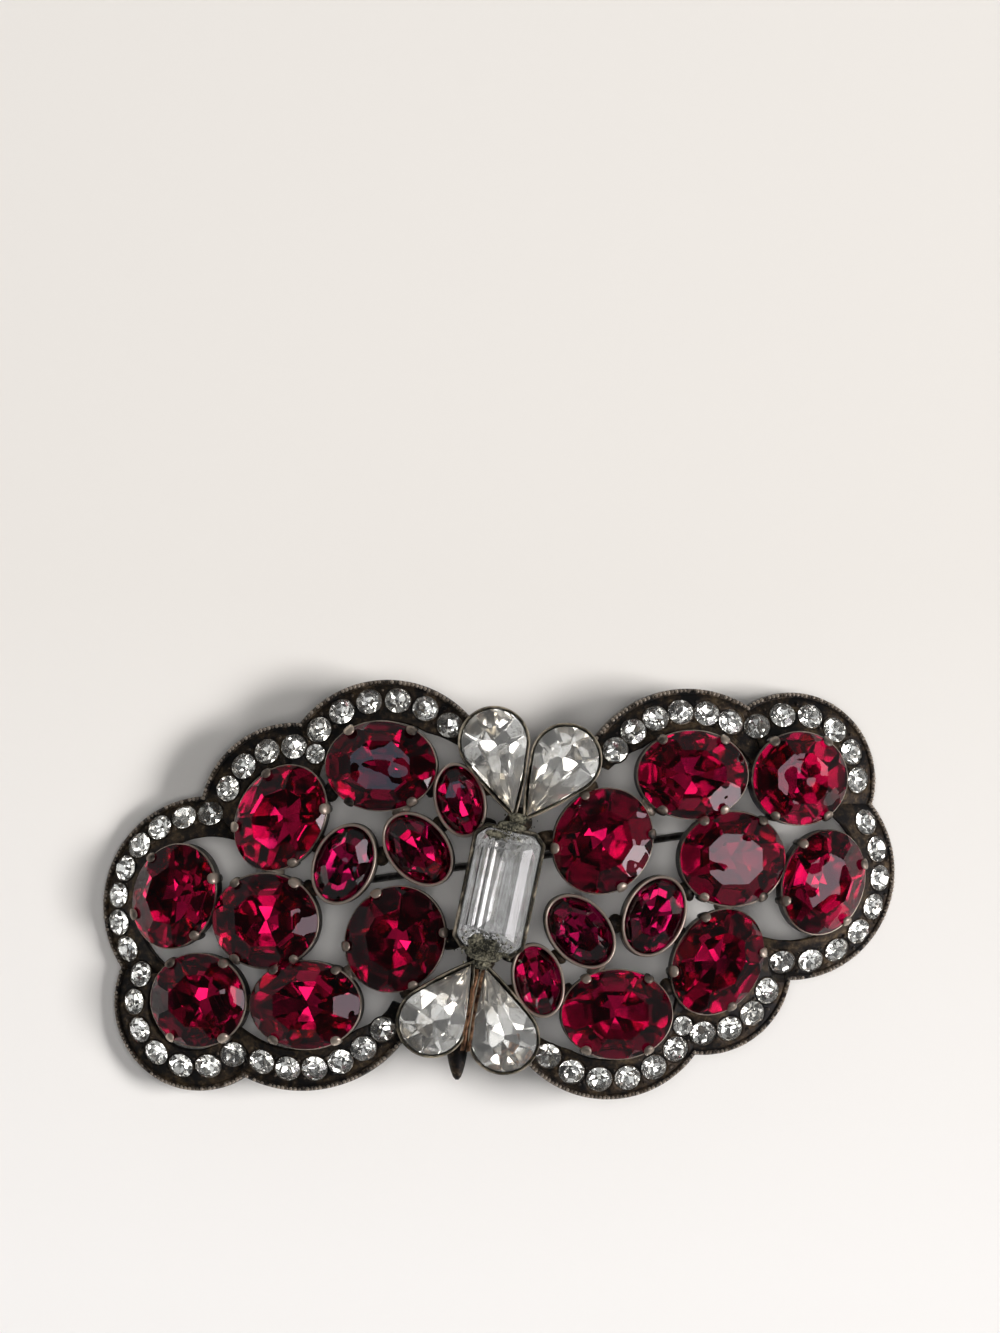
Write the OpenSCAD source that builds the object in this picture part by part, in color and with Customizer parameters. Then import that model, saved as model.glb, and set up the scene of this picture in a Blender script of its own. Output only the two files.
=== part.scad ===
// Butterfly brooch. Two scalloped wings of red ovals stand inside a border of small clear stones,
// and a body of four pear stones round a tall rectangular one joins them.
// It lies on its back: X runs along the span, Y towards the top of the wings, Z up from the table.
// Sizes are millimetres. The right wing's stones are the left wing's turned half a turn about Z.

/* [Wings] */
// Radius that the wings are bent to, about an axis along Y
arch_radius = 128; // [120:1:150]
// Height of the red stones' girdles above the table, at the middle
girdle_height = 9.7; // [9.6:0.1:10.2]

/* [Red stones] */
// Thickness of the cup walls
cup_wall = 0.3; // [0.25:0.05:0.35]
// Depth of the cups below the girdle
cup_depth = 2.9; // [2.7:0.1:3]
// Height of the stones above the girdle
crown = 1.3; // [1:0.1:1.6]
// Depth of the stones below the girdle
pavilion = 2.3; // [1.8:0.1:2.4]
// Width of the table as a share of the stone
table_share = 0.52; // [0.45:0.01:0.6]
// Diameter of the claws
claw_d = 0.9; // [0.7:0.1:1]

/* [Border] */
// Diameter of the border stones
border_stone_d = 2.5; // [2.2:0.05:2.55]
// Width of the border plate
border_w = 4.2; // [4:0.1:4.6]
// Thickness of the border plate
border_t = 1.1; // [1:0.1:1.3]
// Width of the raised outer edge
edge_w = 0.5; // [0.4:0.05:0.7]

/* [Body] */
// Radius of the round end of a pear stone's collet
pear_r = 3.6; // [3.4:0.05:3.6]
// Length of the centre stone's collet
centre_l = 12.8; // [12.4:0.1:13]
// Width of the centre stone's collet
centre_w = 7.3; // [6.5:0.1:7.4]

/* [Pin] */
// Diameter of the pin wire
wire_d = 0.75; // [0.6:0.05:0.8]

/* [Hidden] */
// Claw-set ovals of the left wing, at girdle level.
// columns: x, y, half length of the cup, half width, turn of the long axis
large_ovals = [
    [-11.8, 12.4, 5.6, 4.5, 0],
    [-21.9, 7.2, 5.6, 4.35, 59],
    [-32.6, -0.7, 5.35, 4.25, 72],
    [-23.4, -3.1, 5.4, 4.72, 0],
    [-10.4, -4.9, 5.45, 4.9, 60],
    [-30.2, -11.1, 4.95, 4.7, 0],
    [-19.4, -11.5, 5.65, 4.45, 0]
];
// Bezel-set ovals of the left wing, same columns
small_ovals = [
    [-3.9, 9, 3.8, 2.6, 104],
    [-8.1, 4.1, 4.2, 3.05, 131],
    [-15.5, 2.6, 4.25, 3.1, 66]
];
// Lobes of each wing's border, from its top round to its bottom, in the left wing's place.
// columns: x, y, outer radius, outward slope, stone ring's radius, stones from, stones to, stones
left_lobes = [
    [-11.4, 9.9, 11.1, 20, 9.1, 46, 138, 6],
    [-20.9, 7, 9.7, 20, 7.3, 89, 155, 4],
    [-29.8, -1.8, 11.1, 28, 9.35, 88, 207, 8],
    [-30.9, -11.5, 8.8, 25, 6.4, 153, 308, 7],
    [-20.2, -7.1, 13.1, 20, 10.9, 249, 321, 6]
];
right_lobes = [
    [-11.1, 10.1, 10.9, 20, 8.9, 47, 139, 6],
    [-20.9, 7.6, 9, 20, 6.8, 88, 158, 4],
    [-30, -1.7, 10.9, 28, 9.1, 83, 213, 8],
    [-30, -10.9, 8.8, 25, 6.65, 180, 305, 6],
    [-19.3, -8.5, 11.6, 20, 9.3, 243, 324, 6]
];
// Where the border's edge leaves the body on the first lobe, and meets it again on the last
border_from = 48;
border_to = 321;
// Pear stones of the upper pair, at girdle level: x, y of the round end's centre, x, y of the tip
pears = [
    [-0.5, 14.8, 1.6, 7],
    [6.7, 13.1, 2.35, 6.85]
];
// Pairs of red stones soldered to each other: large ovals count from 0, small ovals from 7
soldered = [[0, 1], [0, 8], [0, 7], [1, 9], [1, 3], [3, 9], [3, 2], [3, 6], [8, 9], [8, 7],
    [6, 4], [6, 5]];
// Solder bars from the wing to the body.
// columns: x, y, length, turn
body_bars = [
    [-1.4, 10.4, 1.6, -20],
    [-1.7, 6.3, 2.2, 10],
    [-4.7, -5, 1.8, 20],
    [-9, -10.1, 1.8, -50]
];

// Small extra stone in the cusp between the first two lobes
cusp_stone = [-18.5, 13.6];
cusp_stone_d = 1.9;
cusp_plate = [[-20.8, 11], [-15.6, 13.4], [-17.4, 16.2], [-20.6, 15.2]];

all_ovals = concat(large_ovals, small_ovals);
gap = 0.07;
rim_drop = 0.3;
stone_inset = 0.05;
bezel_wall = 0.32;
bezel_up = 0.3;
bezel_depth = 2.6;
small_pavilion = 1.9;
pocket_floor = 0.3;
claw_turn = 55;
claw_foot = 2;
claw_inset = 0.05;
claw_top = 0.84;
claw_under = 0.48;
deck_drop = 0.9;
border_crown = 0.45;
border_pavilion = 0.75;
girdle_t = 0.1;
edge_up = 0.3;
seat_margin = 0.4;
cusp_overlap = 1.5;
body_up = 0.5;
pear_wall = 0.25;
pear_up = 0.15;
pear_pavilion = 2.6;
body_depth = 3.4;
centre_up = 1.5;
centre_turn = 78.2;
centre_corner = 1.1;
centre_wall = 0.35;
centre_stone_up = 1.5;
centre_pavilion = 3.2;
pin_z = 0.9;
hinge = [21.5, 5.7];
catch = [-19.8, -0.1];
eye_r = 0.85;
eye_w = 1.4;
rivet_r = 0.33;
cheek_t = 0.6;
cheek_l = 2;
post_top = girdle_height - 3.9;
tail_tip = [-4.2, -19];
tail_r = 1.15;
tail_l = 6;
sides = 28;
$fn = 48;
metal = [0.24, 0.21, 0.2];
red = [0.5, 0.02, 0.1];
clear = [0.86, 0.87, 0.86];

function side_name(s) = s == 0 ? "left" : "right";
function stone_name(s, kind, i) = str(side_name(s), "_", kind, "_", i + 1);
function border_name(s) = str(side_name(s), "_border_stones");

// The arch that the red stones' girdles lie on
function rise(x) = girdle_height - arch_radius + sqrt(pow(arch_radius, 2) - pow(x, 2));
function lean(x) = asin(x / arch_radius);

// Distance from an oval's centre to its edge in direction a
function reach(s, a) = s[2] * s[3]
    / sqrt(pow(s[3] * cos(a - s[4]), 2) + pow(s[2] * sin(a - s[4]), 2));

function oval(a, b, n) = [for (i = [0 : n - 1]) [a * cos(360 * i / n), b * sin(360 * i / n)]];

// Outline of a pear: round end of radius r at the origin, tip at -Y, sides a little full
function pear(r, l, n) = let (h = asin(r / l), full = 0.05 * r)
    concat(
        [for (i = [0 : n - 4]) let (a = -h + (180 + 2 * h) * i / (n - 4)) [r * cos(a), r * sin(a)]],
        [[-(r * cos(h) / 2 + full), -(l + r * sin(h)) / 2]],
        [[0, -l]],
        [[r * cos(h) / 2 + full, -(l + r * sin(h)) / 2]]
    );

// Outline of a rectangle with cut corners
function cut_corners(l, w, c) = [
    [l / 2, -w / 2 + c], [l / 2, w / 2 - c], [l / 2 - c, w / 2], [-l / 2 + c, w / 2],
    [-l / 2, w / 2 - c], [-l / 2, -w / 2 + c], [-l / 2 + c, -w / 2], [l / 2 - c, -w / 2]
];

function ring(outline, k, z) = [for (p = outline) [p[0] * k, p[1] * k, z]];
function every_other(list, first) = [for (i = [first : 2 : len(list) - 1]) list[i]];

// Stands its children on the arch at x, y
module on_arch(x, y, turn = 0)
    translate([x, y, rise(x)])
        rotate([0, lean(x), 0])
            rotate([0, 0, turn])
                children();

module wing(s)
    rotate([0, 0, 180 * s])
        children();

module prism(outline, low, high)
    translate([0, 0, low])
        linear_extrude(height = high - low)
            polygon(outline);

// Stone cut with a table, 8 kites, 24 small crown facets and a full pavilion, from 16 outline points
module brilliant(outline, up, down) {
    half_step = cos(22.5);
    mid = 0.8;
    low_mid = 0.72;
    tables = ring(every_other(outline, 0), table_share, up);
    kites = ring(every_other(outline, 1), mid, up * (1 - mid * half_step) / (1 - table_share));
    deep = ring(every_other(outline, 1), low_mid, -girdle_t - down * (1 - low_mid * half_step));
    points = concat(tables, kites, ring(outline, 1, 0), ring(outline, 1, -girdle_t), deep,
        [[0, 0, -girdle_t - down]]);
    function t(k) = (k + 8) % 8;
    function m(k) = 8 + (k + 8) % 8;
    function g(k) = 16 + (k + 16) % 16;
    function l(k) = 32 + (k + 16) % 16;
    function p(k) = 48 + (k + 8) % 8;
    culet = 56;
    faces = concat(
        [[for (k = [7 : -1 : 0]) t(k)]],
        [for (k = [0 : 7]) [t(k), t(k + 1), m(k)]],
        [for (k = [0 : 7]) [t(k), m(k), g(2 * k)]],
        [for (k = [0 : 7]) [t(k), g(2 * k), m(k - 1)]],
        [for (k = [0 : 7]) [m(k), g(2 * k + 1), g(2 * k)]],
        [for (k = [0 : 7]) [m(k), g(2 * k + 2), g(2 * k + 1)]],
        [for (k = [0 : 15]) [g(k), g(k + 1), l(k + 1)]],
        [for (k = [0 : 15]) [g(k), l(k + 1), l(k)]],
        [for (k = [0 : 7]) [p(k), l(2 * k), l(2 * k + 1)]],
        [for (k = [0 : 7]) [p(k), l(2 * k + 1), l(2 * k + 2)]],
        [for (k = [0 : 7]) [culet, p(k - 1), l(2 * k)]],
        [for (k = [0 : 7]) [culet, l(2 * k), p(k)]]
    );
    polyhedron(points = points, faces = faces);
}

// Stone made of rings of 8 points, from the table down
module stepped(rings) {
    n = 8;
    last = len(rings) - 1;
    points = [for (r = rings) for (p = r) p];
    faces = concat(
        [[for (i = [n - 1 : -1 : 0]) i]],
        [for (j = [0 : last - 1]) for (i = [0 : n - 1])
            [j * n + i, j * n + (i + 1) % n, (j + 1) * n + (i + 1) % n]],
        [for (j = [0 : last - 1]) for (i = [0 : n - 1])
            [j * n + i, (j + 1) * n + (i + 1) % n, (j + 1) * n + i]],
        [[for (i = [0 : n - 1]) last * n + i]]
    );
    polyhedron(points = points, faces = faces);
}

module red_stone(s, inset, down)
    color(red)
        on_arch(s[0], s[1], s[4])
            brilliant(oval(s[2] - inset, s[3] - inset, 16), crown, down);

// Turns -Y of its children from the round end of a pear stone to its tip
module at_pear(p)
    translate([p[0], p[1], rise(0) + body_up])
        rotate([0, 0, atan2(p[3] - p[1], p[2] - p[0]) + 90])
            children();

function pear_length(p) = norm([p[2] - p[0], p[3] - p[1]]);

// Length of an inner outline whose sides keep the same distance w to the outer one's
function inner_length(l, r, w) = l - w * l / r;

module pear_stone(p) {
    w = pear_wall + gap;
    color(clear)
        at_pear(p)
            brilliant(pear(pear_r - w, inner_length(pear_length(p), pear_r, w), 16),
                crown, pear_pavilion);
}

module at_centre()
    translate([0, 0, rise(0) + centre_up])
        rotate([0, 0, centre_turn])
            children();

module centre_stone() {
    l = centre_l - 2 * (centre_wall + gap);
    w = centre_w - 2 * (centre_wall + gap);
    function level(in, z) = [
        for (p = cut_corners(l - 2 * in, w - 2 * in, centre_corner * (1 - in / w * 1.6)))
            [p[0], p[1], z]
    ];
    color(clear)
        at_centre()
            stepped([
                level(1.9, centre_stone_up),
                level(1, centre_stone_up * 0.72),
                level(0, 0),
                level(0, -girdle_t),
                level(1.2, -centre_pavilion * 0.55),
                level(2.5, -centre_pavilion)
            ]);
}

function lobes(s) = s == 0 ? left_lobes : right_lobes;

// Height of lobe b's plate over its own plane, at distance u from its centre
function plate_level(b, u) = -deck_drop - (u - b[2] + border_w) * tan(b[3]);

// Point of the outline where lobe b meets the next lobe c
function cusp(b, c) =
    let (
        apart = norm([c[0] - b[0], c[1] - b[1]]),
        way = [c[0] - b[0], c[1] - b[1]] / apart,
        along = (pow(b[2], 2) - pow(c[2], 2) + pow(apart, 2)) / (2 * apart),
        out = sqrt(pow(b[2], 2) - pow(along, 2))
    )
    [b[0] + along * way[0] + out * way[1], b[1] + along * way[1] - out * way[0]];

function angle_at(b, p) = (atan2(p[1] - b[1], p[0] - b[0]) + 360) % 360;
// Angles from and to which lobe b's plate goes, for its stones and its edge
function seat_angle(b) = asin((border_stone_d / 2 + seat_margin) / b[4]);
function plate_from(b, from) = min(from, b[5] - seat_angle(b));
function plate_to(b, to) = max(to, b[6] + seat_angle(b));

function edge_from(ls, i) = i == 0
    ? border_from : angle_at(ls[i], cusp(ls[i - 1], ls[i])) - cusp_overlap;
function edge_to(ls, i) = i == len(ls) - 1
    ? border_to : angle_at(ls[i], cusp(ls[i], ls[i + 1])) + cusp_overlap;

// Puts its children on lobe b's sloping plate, at angle a on the stone ring
module on_border(b, a)
    on_arch(b[0], b[1])
        rotate([0, 0, a])
            translate([b[4], 0, plate_level(b, b[4])])
                rotate([0, b[3], 0])
                    children();

module round_stone(d) {
    turned = [for (i = [0 : 7]) [d / 2 * cos(45 * i), d / 2 * sin(45 * i)]];
    stepped([
        ring(turned, 0.55, border_crown),
        ring(turned, 1, 0.06),
        ring(turned, 1, -0.06),
        ring(turned, 0.1, -border_pavilion)
    ]);
}

module at_border_stones(s)
    for (b = lobes(s))
        for (i = [0 : b[7] - 1])
            on_border(b, b[5] + (b[6] - b[5]) * i / (b[7] - 1))
                children();

module at_cusp_stone()
    on_arch(cusp_stone[0], cusp_stone[1])
        translate([0, 0, -deck_drop])
            children();

module border_stones(s)
    color(clear) {
        at_border_stones(s) round_stone(border_stone_d);
        at_cusp_stone() round_stone(cusp_stone_d);
    }

module border_seat(d)
    translate([0, 0, -border_pavilion - 0.12])
        cylinder(d = d + 2 * gap, h = 3);

// Short round post with a bevelled top
module stud(r, h, bevel)
    rotate_extrude()
        polygon([[0, 0], [r, 0], [r, h - bevel], [r - bevel, h], [0, h]]);

module claws(s)
    for (end = [-1, 1])
        for (side = [-1, 1])
            translate([
                end * cos(claw_turn) * (s[2] - claw_inset),
                side * sin(claw_turn) * (s[3] - claw_inset),
                -claw_foot
            ])
                stud(claw_d / 2, claw_foot + claw_top, 0.2);

// The stone covers its cup's rim, which it rests on below its girdle
module large_cup(s)
    on_arch(s[0], s[1], s[4]) {
        prism(oval(s[2], s[3], sides), -cup_depth, -rim_drop / 2);
        claws(s);
    }

module large_pocket(s)
    on_arch(s[0], s[1], s[4]) {
        prism(oval(s[2] - cup_wall, s[3] - cup_wall, sides), pocket_floor - cup_depth, 0);
        prism(oval(s[2] + 0.04, s[3] + 0.04, sides), -rim_drop, claw_under);
    }

module small_cup(s)
    on_arch(s[0], s[1], s[4])
        prism(oval(s[2], s[3], sides), -bezel_depth, bezel_up);

module small_pocket(s)
    on_arch(s[0], s[1], s[4])
        prism(oval(s[2] - bezel_wall, s[3] - bezel_wall, sides), pocket_floor - bezel_depth, 1);

// Solder between two red stones' cups, from wall to wall
module solder(s, t) {
    a = atan2(t[1] - s[1], t[0] - s[0]);
    from = reach(s, a) - 0.2;
    to = norm([t[0] - s[0], t[1] - s[1]]) - reach(t, a) + 0.2;
    middle = (from + to) / 2;
    length = max(to - from, 0.8);
    on_arch(s[0] + middle * cos(a), s[1] + middle * sin(a), a)
        translate([-length / 2, -0.9, -2.1])
            cube([length, 1.8, 1.3]);
}

// One lobe of the border: a sloping plate, and the raised edge along its outside
module lobe(b, from, to) {
    inner = b[2] - border_w;
    low = plate_level(b, b[2]);
    on_arch(b[0], b[1]) {
        rotate_extrude(start = plate_from(b, from), angle = plate_to(b, to) - plate_from(b, from))
            polygon([
                [inner, plate_level(b, inner) - border_t],
                [b[2] - 0.15, low - border_t],
                [b[2] - 0.15, low],
                [inner, plate_level(b, inner)]
            ]);
        rotate_extrude(start = from, angle = to - from)
            polygon([
                [b[2] - edge_w, low - border_t],
                [b[2], low - border_t],
                [b[2], low + edge_up],
                [b[2] - edge_w, low + edge_up]
            ]);
    }
}

module wing_metal(w) {
    for (s = large_ovals)
        large_cup(s);
    for (s = small_ovals)
        small_cup(s);
    for (i = [0 : len(lobes(w)) - 1])
        lobe(lobes(w)[i], edge_from(lobes(w), i), edge_to(lobes(w), i));
    for (p = soldered)
        solder(all_ovals[p[0]], all_ovals[p[1]]);
    for (c = body_bars)
        on_arch(c[0], c[1], c[3])
            translate([-c[2] / 2, -0.9, -2.2])
                cube([c[2], 1.8, 1.9]);
    translate([0, 0, rise(cusp_stone[0]) - deck_drop])
        prism(cusp_plate, -1.3, 0);
    for (p = pears)
        at_pear(p)
            prism(pear(pear_r, pear_length(p), 24), -body_depth - body_up + 0.5, pear_up);
}

module wing_pockets(w) {
    for (s = large_ovals)
        large_pocket(s);
    for (s = small_ovals)
        small_pocket(s);
    at_border_stones(w) border_seat(border_stone_d);
    at_cusp_stone() border_seat(cusp_stone_d);
    for (p = pears)
        at_pear(p)
            prism(
                pear(pear_r - pear_wall, inner_length(pear_length(p), pear_r, pear_wall), 24),
                -pear_pavilion - 0.4, 2);
}

module centre_collet() {
    at_centre()
        prism(cut_corners(centre_l, centre_w, centre_corner), -centre_up - body_depth + 0.4, 0.2);
    for (s = [0, 1])
        wing(s)
            translate([1.8, 6.7, rise(0) - 2])
                rotate([0, 0, centre_turn - 90])
                    translate([-1.3, -0.9, -0.8])
                        cube([2.6, 1.8, 2.6]);
}

module centre_pocket() {
    w = 2 * centre_wall;
    at_centre()
        prism(cut_corners(centre_l - w, centre_w - w, centre_corner), -centre_pavilion - 0.3, 2);
}

// The body's rounded tail, under the lower pears
module tail()
    translate([tail_tip[0], tail_tip[1] + tail_l, rise(0) - 1.9])
        rotate([90, 0, 0])
            rotate_extrude()
                polygon([[0, 0], [tail_r, 0], [tail_r, tail_l * 0.45], [tail_r * 0.66, tail_l - 0.45],
                    [tail_r * 0.35, tail_l], [0, tail_l]]);

function pin_turn() = atan2(hinge[1] - catch[1], hinge[0] - catch[0]);

// Sets its children on the pin's line, with +X towards the hinge
module at_pin(p)
    translate([p[0], p[1], pin_z])
        rotate([0, 0, pin_turn()])
            children();

module hinge_post()
    at_pin(hinge) {
        for (side = [-1, 1])
            translate([-cheek_l / 2, side * (eye_w / 2 + 0.1 + cheek_t / 2) - cheek_t / 2, 0.3 - pin_z])
                cube([cheek_l, cheek_t, post_top - 0.3]);
        rotate([90, 0, 0])
            cylinder(r = rivet_r, h = eye_w + 0.2 + cheek_t, center = true);
    }

// Open hook that the pin's point lies in
module catch_post()
    at_pin(catch) {
        translate([-0.7, -0.45, 0.9])
            cube([1.4, 0.9, post_top - pin_z - 0.9]);
        rotate([0, 90, 0])
            translate([0, 0, -0.7])
                rotate_extrude(start = 90, angle = 230)
                    translate([0.55, 0])
                        square([0.5, 1.4]);
    }

module setting()
    color(metal)
        difference() {
            union() {
                for (s = [0, 1])
                    wing(s) wing_metal(s);
                centre_collet();
                tail();
                hinge_post();
                catch_post();
            }
            for (s = [0, 1])
                wing(s) wing_pockets(s);
            centre_pocket();
            translate([-60, -40, -10])
                cube([120, 80, 10]);
        }

module pin() {
    length = norm(hinge - catch);
    color(metal)
        at_pin(hinge)
            difference() {
                union() {
                    rotate([90, 0, 0])
                        cylinder(r = eye_r, h = eye_w, center = true);
                    rotate([0, -90, 0])
                        cylinder(d = wire_d, h = length + 0.8);
                    translate([-length - 0.8, 0, 0])
                        rotate([0, -90, 0])
                            cylinder(d1 = wire_d, d2 = 0.15, h = 2);
                }
                rotate([90, 0, 0])
                    cylinder(r = rivet_r + 0.07, h = eye_w + 1, center = true);
            }
}

setting();
pin();
for (s = [0, 1])
    for (i = [0 : len(large_ovals) - 1])
        wing(s) red_stone(large_ovals[i], stone_inset, pavilion);
for (s = [0, 1])
    for (i = [0 : len(small_ovals) - 1])
        wing(s) red_stone(small_ovals[i], bezel_wall + gap, small_pavilion);
for (s = [0, 1])
    for (i = [0 : len(pears) - 1])
        wing(s) pear_stone(pears[i]);
centre_stone();
for (s = [0, 1])
    wing(s) border_stones(s);
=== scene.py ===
import random
from collections import namedtuple
from math import acos, asin, atan2, ceil, copysign, cos, degrees, dist, hypot, pi, radians, sin, sqrt, tan

import bmesh
import bpy
import numpy as np
from mathutils import Matrix, Vector


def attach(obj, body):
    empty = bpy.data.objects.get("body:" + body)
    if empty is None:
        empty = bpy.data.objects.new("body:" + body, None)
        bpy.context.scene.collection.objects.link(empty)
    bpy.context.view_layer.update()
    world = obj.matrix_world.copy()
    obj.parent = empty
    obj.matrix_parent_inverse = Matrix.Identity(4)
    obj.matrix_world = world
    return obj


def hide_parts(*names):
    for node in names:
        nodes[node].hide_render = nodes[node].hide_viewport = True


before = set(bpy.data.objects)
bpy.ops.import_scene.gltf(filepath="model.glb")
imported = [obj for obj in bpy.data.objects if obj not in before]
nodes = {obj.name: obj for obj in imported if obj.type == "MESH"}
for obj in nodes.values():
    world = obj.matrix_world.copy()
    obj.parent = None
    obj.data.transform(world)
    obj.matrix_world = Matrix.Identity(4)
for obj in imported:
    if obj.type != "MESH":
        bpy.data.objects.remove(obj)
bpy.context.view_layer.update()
scene = bpy.context.scene
MM = 0.001


# The view and the table: a long lens straight above the middle of the picture, with the brooch below
# that middle, on a pale matt sheet whose colour is a little brighter and warmer towards the picture's bottom.
# That brightening is painted light: the sheet's colour carries the light that falls more strongly there.
PICTURE_HEIGHT = 133.3 * MM
BROOCH_LEFT_OF_MIDDLE, BROOCH_BELOW_MIDDLE = 0.1 * MM, 22.33 * MM
CAMERA_HEIGHT = 0.9
STONE_LEVEL = 7.5 * MM


def add_object(name, data):
    made = bpy.data.objects.new(name, data)
    scene.collection.objects.link(made)
    return made


camera = add_object("camera", bpy.data.cameras.new("camera"))
camera.data.lens = camera.data.sensor_width * (CAMERA_HEIGHT - STONE_LEVEL) / PICTURE_HEIGHT
camera.data.clip_start, camera.data.clip_end = 0.02, 5
camera.location = (BROOCH_LEFT_OF_MIDDLE, BROOCH_BELOW_MIDDLE, CAMERA_HEIGHT)
scene.camera = camera
scene.view_settings.view_transform = "Standard"
scene.cycles.use_denoising = True
scene.cycles.max_bounces = 14
scene.cycles.transmission_bounces = 12
scene.cycles.glossy_bounces = 8
scene.cycles.sample_clamp_indirect = 5


class Value:
    """What a node gives out. Sums and products of values add their Math nodes."""

    def __init__(self, net, socket):
        self.net, self.socket = net, socket

    def math(self, operation, first, second):
        return self.net.node("ShaderNodeMath", {0: first, 1: second}, {"operation": operation})

    def __add__(self, other):
        return self.math("ADD", self, other)

    def __sub__(self, other):
        return self.math("SUBTRACT", self, other)

    def __rsub__(self, other):
        return self.math("SUBTRACT", other, self)

    def __mul__(self, other):
        return self.math("MULTIPLY", self, other)

    __radd__, __rmul__ = __add__, __mul__

    def between(self, low, high):
        """0 where the value is at or under low, 1 where it is at or over high."""
        return self.net.node("ShaderNodeMapRange", {"Value": self, "From Min": low, "From Max": high},
                             {"clamp": True})

    def mix(self, a, b):
        """Colour a where the value is 0, colour b where it is 1."""
        return self.net.node("ShaderNodeMix", {0: self, 6: a, 7: b}, {"data_type": "RGBA"}, 2)

    def bump(self, distance, strength=1.0):
        return self.net.node("ShaderNodeBump", {"Height": self, "Distance": distance, "Strength": strength})


class Net:
    """A tree of nodes, whose sockets are set by name or number."""

    def __init__(self, tree):
        self.tree = tree

    def set(self, node, inputs):
        for key, value in inputs.items():
            if isinstance(value, Value):
                self.tree.links.new(value.socket, node.inputs[key])
            elif node.inputs[key].type == "RGBA" and len(value) == 3:
                node.inputs[key].default_value = (*value, 1)
            else:
                node.inputs[key].default_value = value

    def node(self, kind, inputs={}, settings={}, output=0):
        made = self.tree.nodes.new(kind)
        for key, value in settings.items():
            setattr(made, key, value)
        self.set(made, inputs)
        return Value(self, made.outputs[output])


class Finish(Net):
    """A material made of one Principled shader."""

    def __init__(self, name, **sockets):
        self.material = bpy.data.materials.new(name)
        self.material.use_nodes = True
        super().__init__(self.material.node_tree)
        self.surface(**sockets)

    def surface(self, **sockets):
        self.set(self.tree.nodes["Principled BSDF"],
                 {key.replace("_", " "): value for key, value in sockets.items()})

    def place(self):
        return self.node("ShaderNodeTexCoord", output="Object")

    def noise(self, size, detail=3.0, roughness=0.55, stretch=None, turn=0):
        """Clouds about size across, in metres, or with stretch, streaks at a turn."""
        at = self.place()
        if stretch:
            at = self.node("ShaderNodeMapping", {"Vector": at, "Rotation": (0, 0, radians(-turn))})
            at = self.node("ShaderNodeMapping", {"Vector": at, "Scale": (stretch, 1, 1)})
        return self.node("ShaderNodeTexNoise", {
            "Vector": at, "Scale": 1 / size, "Detail": detail, "Roughness": roughness})

    def painted(self, name):
        """A number that the mesh carries at its points."""
        return self.node("ShaderNodeAttribute", {}, {"attribute_name": name}, "Fac")


# Painted light: SHEET_BOTTOM is lighter than SHEET_TOP, so the sheet's colour brightens towards the picture's
# bottom in place of stronger light there.
SHEET_TOP, SHEET_BOTTOM = (0.79, 0.755, 0.715), (0.88, 0.855, 0.835)
sheet = Finish("pale_sheet", Roughness=0.9)
up_the_picture = sheet.node("ShaderNodeSeparateXYZ", {"Vector": sheet.place()}, output="Y")
sheet.surface(Base_Color=up_the_picture.between(-0.04, 0.03).mix(SHEET_BOTTOM, SHEET_TOP))

floor_mesh = bpy.data.meshes.new("floor")
floor_mesh.from_pydata([(-1.5, -1.5, 0), (1.5, -1.5, 0), (1.5, 1.5, 0), (-1.5, 1.5, 0)], [], [(0, 1, 2, 3)])
floor_mesh.materials.append(sheet.material)
floor = add_object("floor", floor_mesh)


# A dim room with soft boxes. The one that shapes the shadows stands at the right, a wide one hangs over
# the table and lights it through the gaps, and the rest are what the metal and the stones show.
world = bpy.data.worlds.new("studio")
world.use_nodes = True
scene.world = world
room = Net(world.node_tree)
way = room.node("ShaderNodeTexCoord")
up = room.node("ShaderNodeSeparateXYZ", {"Vector": way}, output="Z")
cards = room.node("ShaderNodeTexNoise", {"Vector": way, "Scale": 2.6, "Detail": 1.0})
through_glass = room.node("ShaderNodeLightPath", output="Is Transmission Ray")
glow = room.node("ShaderNodeMapRange", {
    "Value": up, "From Min": 0.25, "From Max": 0.7, "To Min": 0.22, "To Max": 0.03},
    {"clamp": True, "interpolation_type": "SMOOTHSTEP"})
room.set(world.node_tree.nodes["Background"], {
    "Color": (0.96, 0.98, 1.0), "Strength": glow + through_glass * cards.between(0.45, 0.58) * 0.8})


def compass(degrees):
    """The way that an angle points, as x and y."""
    return cos(radians(degrees)), sin(radians(degrees))


def softbox(name, azimuth, elevation, distance, size, radiance, seen, colour=(1, 1, 1)):
    """A light aimed at the brooch. Azimuth 0 is right of it, 90 at the top of the picture."""
    light = bpy.data.lights.new(name, "AREA")
    light.shape, light.size, light.size_y = "RECTANGLE", *size
    light.energy = radiance * pi * size[0] * size[1]
    light.color = colour
    (x, y), (flat, high) = compass(azimuth), compass(elevation)
    towards = Vector((x * flat, y * flat, high))
    made = add_object(name, light)
    made.matrix_world = (Matrix.Translation(towards * distance)
                         @ towards.to_track_quat("Z", "Y").to_matrix().to_4x4())
    made.visible_diffuse, made.visible_glossy = "diffuse" in seen, "glossy" in seen
    made.visible_transmission = "glass" in seen


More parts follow.
